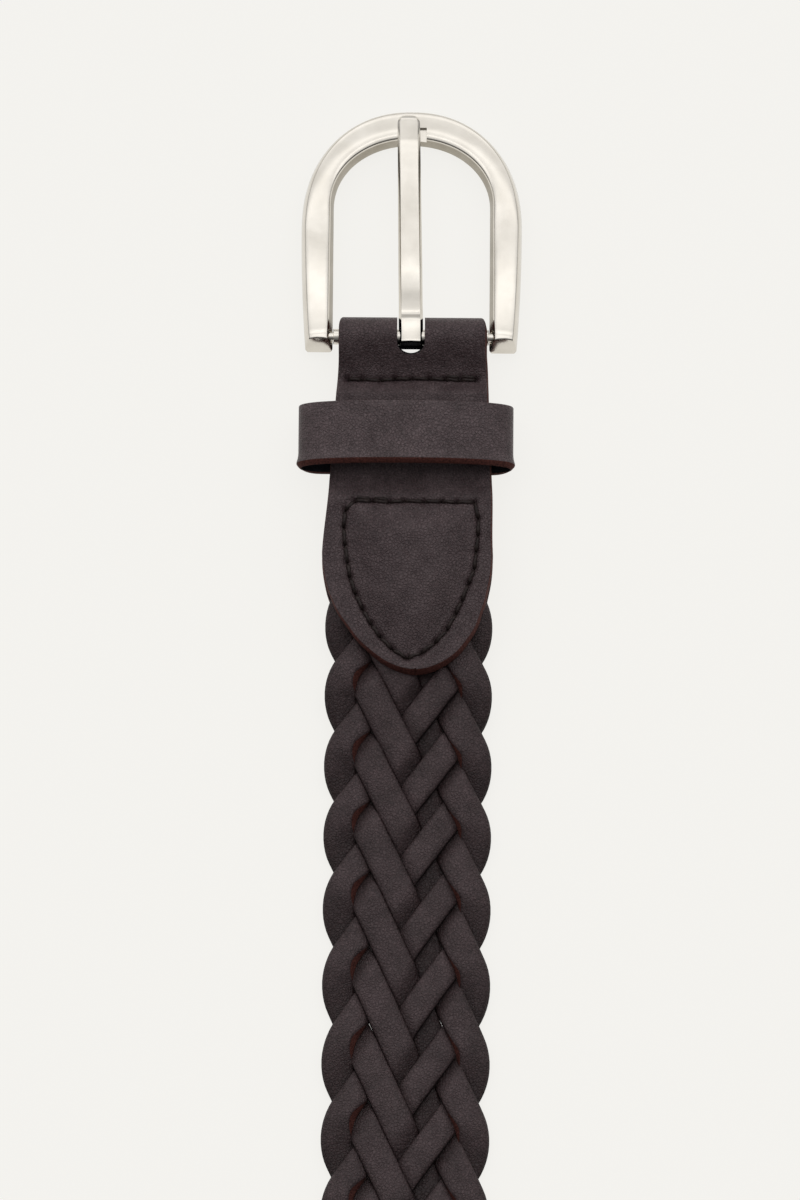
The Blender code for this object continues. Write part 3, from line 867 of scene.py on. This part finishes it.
def run_level(share, length):
    """0 under, 1 over, at a share of a straight run: it changes in the gaps between the strands crossed."""
    ramps = [smooth_step((share - middle) * length, -RAMP, RAMP) for middle in CROSSING_GAPS]
    return ramps[0] - ramps[1] + ramps[2]


def turn_bank(distance, length):
    """How far a strand is banked, at a distance before or into an edge turn of a given length."""
    banked = smooth_step(distance, -BANK_RUN, 0.15 * length)
    return banked * (1 - smooth_step(distance, 0.45 * length, 0.85 * length))


def turn_points(side, at):
    """Middle line, heading, level, bank and half width of a strand round the belt's edge."""
    start, end = (right_angle, -left_angle) if side > 0 else (-left_angle, right_angle)
    widths = (RIGHT_RUN_WIDTH, LEFT_RUN_WIDTH) if side > 0 else (LEFT_RUN_WIDTH, RIGHT_RUN_WIDTH)
    reach = TURN_RADIUS / cos(between / 2)
    pull = Vector((sin(end) - sin(start), cos(end) - cos(start))).normalized()
    centre_x = side * corner + reach * pull.x
    centre_along = at + reach * pull.y
    length = TURN_RADIUS * between
    points = []
    for k in range(TURN_STEPS + 1):
        share = k / TURN_STEPS
        heading = mix(start, end, share)
        x = centre_x + side * TURN_RADIUS * cos(heading)
        along = centre_along - side * TURN_RADIUS * sin(heading)
        level = 1 - (smooth_step(share, -0.1, 0.9) if side > 0 else smooth_step(share, 0.15, 1.1))
        bank = -side * turn_bank(share * length, length)
        half = mix(*widths, smooth_step(share, 0.0, 1.0)) / 2
        points.append((x, along, heading, lambda t, v=level: v, bank, half))
    return points


def run_points(side, at, pitches, own, width):
    """Middle line of a straight run from one edge turn to the next."""
    length = hypot(2 * corner, pitches * PITCH)
    slip = side / tan(between) / length
    steps = round((length - 2 * tangent) / STRAND_STEP)
    points = []
    for k in range(1, steps):
        share = (tangent + (length - 2 * tangent) * k / steps) / length
        x = side * corner * (1 - 2 * share)
        along = at + share * pitches * PITCH
        bank = side * turn_bank(share * length - (length - tangent), TURN_RADIUS * between)
        points.append(
            (x, along, -side * own, lambda t, s=share: run_level(s - slip * t, length), bank, width / 2)
        )
    return points


def strand_rings(number):
    """Rings round one strand, from inside the tab to inside the tip."""
    period = STRANDS * PITCH
    at = FIRST_TURN + number * PITCH - 2 * period
    points = []
    while at < BRAID_END:
        far = at + RIGHT_PITCHES * PITCH
        points += turn_points(-1, at) + run_points(-1, at, RIGHT_PITCHES, right_angle, RIGHT_RUN_WIDTH)
        points += turn_points(1, far) + run_points(1, far, LEFT_PITCHES, left_angle, LEFT_RUN_WIDTH)
        at += period
    rings = []
    shades = []
    bares = []
    for x, along, heading, level, bank, half in points:
        if not BRAID_START <= along <= BRAID_END:
            continue
        ring = []
        shade = []
        bare = []
        for across, height, _ in STRAND_SECTION:
            t = across * half
            inner = max(across * bank, 0.0) * level(t)
            # Painted shade: the face is darkened where the strand dives under the others, and towards its
            # edges.
            shade.append(1 - mix(UNDER_SHADE, 1.0, level(t)) * (1 - EDGE_SHADE * abs(across) ** 5))
            # Where the strand is banked at a turn, its cut edge is marked bare and shows the red brown core;
            # elsewhere the edge takes painted shade.
            bare.append(smooth_step(inner, BARE_START, BARE_END))
            t -= across * TURN_BARE * inner ** 2 * max(height - BARE_FOOT, 0.0)
            at_x = x + cos(heading) * t
            at_along = along - sin(heading) * t + eased(HAND_SLIP, along)
            crown = STRAND_CROWN * (1 - across ** 2) * height
            z = strand_lift(at_along) + STRAND_RISE * level(t) + STRAND_THICKNESS * height + crown
            z += TURN_BANK * bank * t * level(t)
            floor = GAP * 0.5 + STRAND_THICKNESS * height
            ring.append(place(at_x, at_along, max(z, floor)))
        rings.append(ring)
        shades.append(shade)
        bares.append(bare)
    return rings, shades, bares


strand_leather = leather_finish(
    "strand_leather_face", (0.044, 0.028, 0.029), (0.084, 0.057, 0.060), 0.8, 0.46, shade_mark="painted_shade"
)
strand_edge = raw_finish(
    "strand_cut_edge", (0.036, 0.009, 0.007), (0.095, 0.032, 0.025), bare_mark="bare_edge"
)
strand_columns = [row[2] for row in STRAND_SECTION]
for number in range(STRANDS):
    rings, shades, bares = strand_rings(number)
    strand = sweep(
        f"leather_strand_{number + 1}",
        rings,
        [strand_leather, strand_edge, flesh_leather],
        strand_columns,
        marks=[("painted_shade", shades), ("bare_edge", bares)],
    )
    smooth(strand, 50)
    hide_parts(f"braid_strand_{number + 1}")
    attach(strand, "strap")


# Tip
# Two plies of the tab's leather over the ends of the braid, sewn together round their border and
# cut to a rounded point.
TAIL_END = 1.001
TIP_WIDTH = 0.0350
TIP_POINT = 0.0240
TIP_POINT_ROUND = 1.7
TIP_SEAM_INSET = 0.0035
TIP_SEAM_ROWS = 20
TIP_PLY_ROWS = 160
inner_length = TAB_LENGTH - TAB_SHOULDER


def tip_bottom(along):
    drop = smooth_step(along, BRAID_END + LEATHER, TAIL_END - TIP_POINT)
    return mix(OVER_BRAID, OVER_PLY, drop)


def tip_cut(place_on_tip, inset):
    """Half width and distance from the bar of the tip's cut line.

    The place runs from -1 to 0 round the inner end, to 1 down the sides and to 2 round the point.
    """
    half = TIP_WIDTH / 2 - inset
    if place_on_tip < 0:
        turn = pi / 2 * -place_on_tip * LAST_TURN
        reach = (inner_length - inset) * sin(turn) ** (2 / TAB_TIP_ROUND)
        return half * cos(turn) ** (2 / TAB_TIP_ROUND), TIP_START + inner_length - reach
    if place_on_tip <= 1:
        return half, mix(TIP_START + inner_length, TAIL_END - TIP_POINT, place_on_tip)
    turn = pi / 2 * (place_on_tip - 1) * LAST_TURN
    reach = (TIP_POINT - inset) * sin(turn) ** (2 / TIP_POINT_ROUND)
    return half * cos(turn) ** (2 / TIP_POINT_ROUND), TAIL_END - TIP_POINT + reach


tip_side = [tip_cut(k / TIP_SEAM_ROWS, TIP_SEAM_INSET) for k in range(-TIP_SEAM_ROWS, 2 * TIP_SEAM_ROWS + 1)]
tip_seam = tip_side + [(-x, along) for x, along in tip_side[::-1]]
tip_holes = walk(tip_seam, STITCH_PITCH, closed=True)
tip_seam_points = tree_of(walk(tip_seam, SEAM_STEP, closed=True))
tip_hole_points = tree_of(tip_holes)


def tip_front_spot(x, along, height):
    seam = tip_seam_points.find((x, along, 0.0))[2]
    hole = tip_hole_points.find((x, along, 0.0))[2]
    sunk = sewn_depth(seam, hole) * smooth_step(height, 0.0, 1.0)
    return place(x, along, tip_bottom(along) + LEATHER * height - sunk)


def tip_back_spot(x, along, height):
    return place(x, along, LEATHER * (1 - height))


tip_places = [mix(-1, 2, k / TIP_PLY_ROWS) for k in range(TIP_PLY_ROWS + 1)]
for name, node, spot in (
    ("tip_front_ply", "tip_front", tip_front_spot),
    ("tip_back_ply", "tip_back", tip_back_spot),
):
    rings = [leather_ring(lambda inset, height, slant, p=p: tip_cut(p, inset), spot) for p in tip_places]
    ply = sweep(name, rings, [tab_leather, cut_leather, flesh_leather], ring_columns)
    smooth(ply, 42)
    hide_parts(node)
    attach(ply, "strap")
sew("tip_stitches", [tip_holes + tip_holes[:1]], lambda x, along: tip_bottom(along) + LEATHER - GROOVE_DEPTH)


# Buckle frame
# A cast horseshoe of satin nickel plated zinc, with a softly crowned face, fine bevels along both
# edges and legs cut square. A pocket in the arch takes the prong's end.
TAB_EASE = 0.0008
OPENING_HALF = TAB_WIDTH_AT_BAR / 2 + TAB_EASE
LEG_WIDTH = 0.0068
LEG_TUCK = 0.0010
LEG_END = 0.0030
LEG_CUTS = (0.0023, 0.0013, 0.0005)
ARCH_REACH = 0.0500
ARCH_WIDTH = 0.0077
ARCH_DEPTH = 0.0267
ARCH_ROUND = 2.17
OPENING_DEPTH = 0.0143
OPENING_ROUND = 2.05
FRAME_THICKNESS = 0.0040
FRAME_BOW = 0.0016
FRAME_HALF = OPENING_HALF + LEG_WIDTH
OPENING_REACH = ARCH_REACH - ARCH_WIDTH
ARCH_CENTRE = ARCH_REACH - ARCH_DEPTH
OPENING_CENTRE = OPENING_REACH - OPENING_DEPTH
FRAME_LIFT = BAR_Z - FRAME_THICKNESS / 2
FRAME_PROFILE = (
    # edge measured from, distance from that edge in metres, height as a share of the thickness, material (1
    # is the darker wall copy, painted shade)
    ("inner", 0.00045, 0.00, 1),
    ("outer", 0.00045, 0.00, 1),
    ("outer", 0.00000, 0.16, 0),
    ("outer", 0.00065, 0.80, 0),
    ("outer", 0.00095, 0.93, 0),
    ("outer", 0.00200, 0.985, 0),
    ("inner", 0.00335, 1.00, 0),
    ("inner", 0.00200, 0.985, 0),
    ("inner", 0.00108, 0.93, 0),
    ("inner", 0.00082, 0.80, 1),
    ("inner", 0.00000, 0.18, 1),
)
ARCH_ROWS = 130
LEG_ROWS = 20
PIN_DIAMETER = 0.0020
PIN_DEPTH = 0.0030
POCKET_DEPTH = 0.0015
POCKET_LENGTH = 0.0033
POCKET_LEFT = 0.0027
POCKET_RIGHT = 0.0030


def satin_nickel_finish(name, dark, light, low_roughness, high_roughness):
    """Nickel plate with a fine satin blast: warm white metal, almost even, with faint cloudy wear."""
    material = bpy.data.materials.new(name)
    material.use_nodes = True
    tree = material.node_tree
    shader = tree.nodes["Principled BSDF"]
    spot = add_node(tree, "TexCoord").outputs["Object"]
    cloud = add_node(tree, "TexNoise", [("Vector", spot), ("Scale", 220.0), ("Detail", 4.0)])
    tone = add_node(tree, "ValToRGB", [("Fac", cloud.outputs["Fac"])])
    fill_ramp(tone, [(0.30, dark), (0.70, light)])
    dull = add_node(
        tree,
        "MapRange",
        [("Value", cloud.outputs["Fac"]), ("To Min", low_roughness), ("To Max", high_roughness)],
    )
    blast = add_node(tree, "TexNoise", [("Vector", spot), ("Scale", 5200.0), ("Detail", 2.0)])
    bump = add_node(
        tree, "Bump", [("Strength", 0.12), ("Distance", 0.00003), ("Height", blast.outputs["Fac"])]
    )
    tree.links.new(tone.outputs[0], shader.inputs["Base Color"])
    tree.links.new(dull.outputs[0], shader.inputs["Roughness"])
    tree.links.new(bump.outputs[0], shader.inputs["Normal"])
    shader.inputs["Metallic"].default_value = 1.0
    return material


satin_nickel = satin_nickel_finish(
    "satin_nickel_plate", (0.66, 0.622, 0.560), (0.75, 0.712, 0.650), 0.13, 0.21
)
# Painted shade: the frame's underside, inner walls and the pocket's walls take a darker and rougher copy of
# the plate, which stands in for the shade they lie in.
nickel_wall_painted_shade = satin_nickel_finish(
    "rough_nickel_wall_painted_shade", (0.34, 0.310, 0.255), (0.46, 0.425, 0.365), 0.30, 0.42
)


def round_edges(piece, width, degrees):
    """Rounds the edges of a piece that turn by more than an angle."""
    apply_modifier(
        piece,
        "BEVEL",
        width=width,
        segments=3,
        limit_method="ANGLE",
        angle_limit=radians(degrees),
        use_clamp_overlap=True,
    )


def frame_bottom(along):
    """The frame rests on its arch, rises to the bar and is bowed between."""
    share = min(max((along + ARCH_REACH) / ARCH_REACH, 0.0), 1.08)
    return FRAME_LIFT * share + FRAME_BOW * 4 * share * max(1 - share, 0.0)


def outer_half(along):
    """The outer side of a leg, which draws in slightly towards the bar."""
    share = (along + ARCH_CENTRE) / (LEG_END + ARCH_CENTRE)
    return FRAME_HALF - LEG_TUCK * max(share, 0.0) ** 2


def frame_ring(outer, inner, cut=0.0):
    """A ring round the frame's section, from inner to outer edge, cut back at the top at a leg's end."""
    run = Vector((outer[0] - inner[0], outer[1] - inner[1]))
    step = run.normalized()
    ring = []
    for edge, inset, height, _ in FRAME_PROFILE:
        base = inner if edge == "inner" else outer
        shift = step * (inset if edge == "inner" else -inset)
        along = base[1] + shift.y
        z = frame_bottom(along) + FRAME_THICKNESS * height
        ring.append(place(base[0] + shift.x, along - cut * height, z))
    return ring


def arch_point(turn, half, centre, reach, roundness):
    x = half * abs(cos(turn)) ** (2 / roundness)
    along = -centre - (reach - centre) * sin(turn) ** (2 / roundness)
    return (x if cos(turn) >= 0 else -x, along)


leg = []
for k in range(LEG_ROWS):
    share = k / LEG_ROWS
    out_along = mix(LEG_END, -ARCH_CENTRE, share)
    in_along = mix(LEG_END, -OPENING_CENTRE, share)
    cut = LEG_CUTS[k] if k < len(LEG_CUTS) else 0.0
    leg.append(frame_ring((outer_half(out_along), out_along), (OPENING_HALF, in_along), cut))
arch = []
for k in range(ARCH_ROWS + 1):
    turn = pi * k / ARCH_ROWS
    outer = arch_point(turn, FRAME_HALF, ARCH_CENTRE, ARCH_REACH, ARCH_ROUND)
    inner = arch_point(turn, OPENING_HALF, OPENING_CENTRE, OPENING_REACH, OPENING_ROUND)
    arch.append(frame_ring(outer, inner))
other_leg = [[Vector((-point.x, point.y, point.z)) for point in ring] for ring in leg[::-1]]
rings = leg + arch + other_leg
frame_columns = [row[3] for row in FRAME_PROFILE]
buckle = sweep("buckle_horseshoe", rings, [satin_nickel, nickel_wall_painted_shade], frame_columns)
round_edges(buckle, 0.00022, 17)

bpy.ops.mesh.primitive_cube_add(size=1)
pocket = bpy.context.object
pocket_floor = frame_bottom(-OPENING_REACH) + FRAME_THICKNESS - POCKET_DEPTH
for vertex in pocket.data.vertices:
    x = -POCKET_LEFT if vertex.co.x < 0 else POCKET_RIGHT
    along = -OPENING_REACH + LEG_WIDTH if vertex.co.y < 0 else -OPENING_REACH - POCKET_LENGTH
    z = pocket_floor + (FRAME_THICKNESS if vertex.co.z > 0 else 0.0)
    vertex.co = place(x, along, z)
# The pocket's walls take the darker copy with painted shade; its floor takes the plate.
pocket.data.materials.append(nickel_wall_painted_shade)
pocket.data.materials.append(satin_nickel)
for face in pocket.data.polygons:
    face.material_index = 1 if face.normal.z < -0.5 else 0
cut_out(buckle, pocket)
for side in (-1, 1):
    bpy.ops.mesh.primitive_cylinder_add(
        vertices=32,
        radius=PIN_DIAMETER / 2 + GAP,
        depth=2 * PIN_DEPTH,
        location=place(side * OPENING_HALF, 0.0, BAR_Z),
        rotation=(0.0, pi / 2, 0.0),
    )
    cut_out(buckle, bpy.context.object)
smooth(buckle, 24)
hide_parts("buckle_frame")
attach(buckle, "buckle")


# Heel bar
# A turned steel bar between the legs of the frame, with a thinner pin at each end that sits in a
# blind hole in the leg. The tab is folded round it, and the prong swings on it.
BAR_DIAMETER = 0.0033
BAR_SIDES = 40
BAR_CHAMFER = 0.0001
bar_shoulder = OPENING_HALF - BAR_CHAMFER
right_stops = [
    # distance from the middle, radius
    (OPENING_HALF + PIN_DEPTH - GAP, PIN_DIAMETER / 2),
    (bar_shoulder, PIN_DIAMETER / 2),
    (bar_shoulder, BAR_DIAMETER / 2 - BAR_CHAMFER),
    (bar_shoulder - BAR_CHAMFER, BAR_DIAMETER / 2),
]
left_stops = [(-x, radius) for x, radius in right_stops[::-1]]
bar_turns = [2 * pi * k / BAR_SIDES for k in range(BAR_SIDES)]
rings = [
    [place(x, radius * cos(turn), BAR_Z + radius * sin(turn)) for turn in bar_turns]
    for x, radius in right_stops + left_stops
]
heel_bar = sweep("heel_bar", rings, [satin_nickel], [0] * BAR_SIDES)
smooth(heel_bar, 30)
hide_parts("buckle_bar")
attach(heel_bar, "buckle")


# Prong
# A flat bar with wide facets along its upper edges, bent down at the arch, with a thick heel that is
# curled round the heel bar.
PRONG_WIDTH = 0.0050
PRONG_LEAN = 0.017
EYE_WALL = 0.0006
arch_top = frame_bottom(-ARCH_REACH + 0.002) + FRAME_THICKNESS
PRONG_SECTIONS = (
    # distance from the bar, top above the arch, thickness, width as a share
    (-0.0483, 0.0004, 0.0002, 0.26),
    (-0.0482, 0.0006, 0.0004, 0.47),
    (-0.0480, 0.0008, 0.0006, 0.63),
    (-0.0477, 0.0010, 0.0008, 0.76),
    (-0.0473, 0.0012, 0.0010, 0.86),
    (-0.0468, 0.0013, 0.0010, 0.92),
    (-0.0462, 0.0014, 0.0011, 0.94),
    (-0.0440, 0.0018, 0.0015, 0.945),
    (-0.0425, 0.0021, 0.0018, 0.95),
    (-0.0405, 0.00225, 0.0020, 0.955),
    (-0.0375, 0.0024, 0.0021, 0.96),
    (-0.0300, 0.0027, 0.0022, 0.97),
    (-0.0200, 0.0029, 0.0023, 0.99),
    (-0.0140, 0.0029, 0.0024, 1.00),
    (-0.0100, 0.0026, 0.0025, 1.00),
    (-0.0070, 0.0022, 0.0026, 1.00),
    (-0.0050, 0.0020, 0.0028, 1.01),
    (-0.0044, 0.0021, 0.0030, 1.01),
    (-0.0037, 0.0027, 0.0032, 1.02),
    (-0.0030, 0.0030, 0.0034, 1.02),
)
PRONG_PROFILE = (
    # offset in half widths, height as a share of the thickness
    (-0.92, 0.00),
    (0.92, 0.00),
    (1.00, 0.12),
    (1.00, 0.62),
    (0.78, 0.95),
    (0.00, 1.00),
    (-0.78, 0.95),
    (-1.00, 0.62),
    (-1.00, 0.12),
)
HEEL_SECTIONS = (
    # degrees round the bar from straight below, drop of the top
    (-48, 0.0),
    (-30, 0.0),
    (-12, 0.0),
    (8, 0.0),
    (26, 0.0),
    (38, 0.0),
    (42, 0.0010),
    (52, 0.0014),
    (62, 0.0018),
    (72, 0.0026),
)
PRONG_ROWS = 150
PRONG_CROWDING = 1.4


def prong_ring(along, half, low, high):
    lean = PRONG_LEAN * min(along, 0.0)
    return [place(half * across + lean, along, mix(low, high, height)) for across, height in PRONG_PROFILE]


def curve_through(rows, at):
    """A row of a table worked out between its rows, on a smooth curve."""
    for k in range(len(rows) - 1):
        if at <= rows[k + 1][0] or k == len(rows) - 2:
            share = (at - rows[k][0]) / (rows[k + 1][0] - rows[k][0])
            before = rows[max(k - 1, 0)]
            start = rows[k]
            end = rows[k + 1]
            after = rows[min(k + 2, len(rows) - 1)]
            span = end[0] - start[0]
            values = []
            for column in range(1, len(start)):
                rise_in = (end[column] - before[column]) / max(end[0] - before[0], 1e-9) * span
                rise_out = (after[column] - start[column]) / max(after[0] - start[0], 1e-9) * span
                squared = share ** 2
                cubed = share ** 3
                values.append(
                    (2 * cubed - 3 * squared + 1) * start[column] + (cubed - 2 * squared + share) * rise_in
                    + (3 * squared - 2 * cubed) * end[column] + (cubed - squared) * rise_out
                )
            return values


rings = []
for k in range(PRONG_ROWS + 1):
    along = mix(PRONG_SECTIONS[0][0], PRONG_SECTIONS[-1][0], (k / PRONG_ROWS) ** PRONG_CROWDING)
    top, thick, width = curve_through(PRONG_SECTIONS, along)
    rings.append(prong_ring(along, width * PRONG_WIDTH / 2, arch_top + top - thick, arch_top + top))
eye = BAR_DIAMETER / 2 + GAP + EYE_WALL
heel_top = arch_top + PRONG_SECTIONS[-1][1]
heel_half = PRONG_SECTIONS[-1][3] * PRONG_WIDTH / 2
for degrees, drop in HEEL_SECTIONS:
    along = eye * sin(radians(degrees))
    rings.append(prong_ring(along, heel_half, BAR_Z - eye * cos(radians(degrees)), heel_top - drop))
prong = sweep("buckle_prong", rings, [satin_nickel], [0] * len(PRONG_PROFILE))
round_edges(prong, 0.00028, 22)
bpy.ops.mesh.primitive_cylinder_add(
    vertices=48,
    radius=BAR_DIAMETER / 2 + GAP,
    depth=3 * PRONG_WIDTH,
    location=place(0.0, 0.0, BAR_Z),
    rotation=(0.0, pi / 2, 0.0),
)
cut_out(prong, bpy.context.object)
smooth(prong, 28)
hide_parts("prong")
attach(prong, "prong")
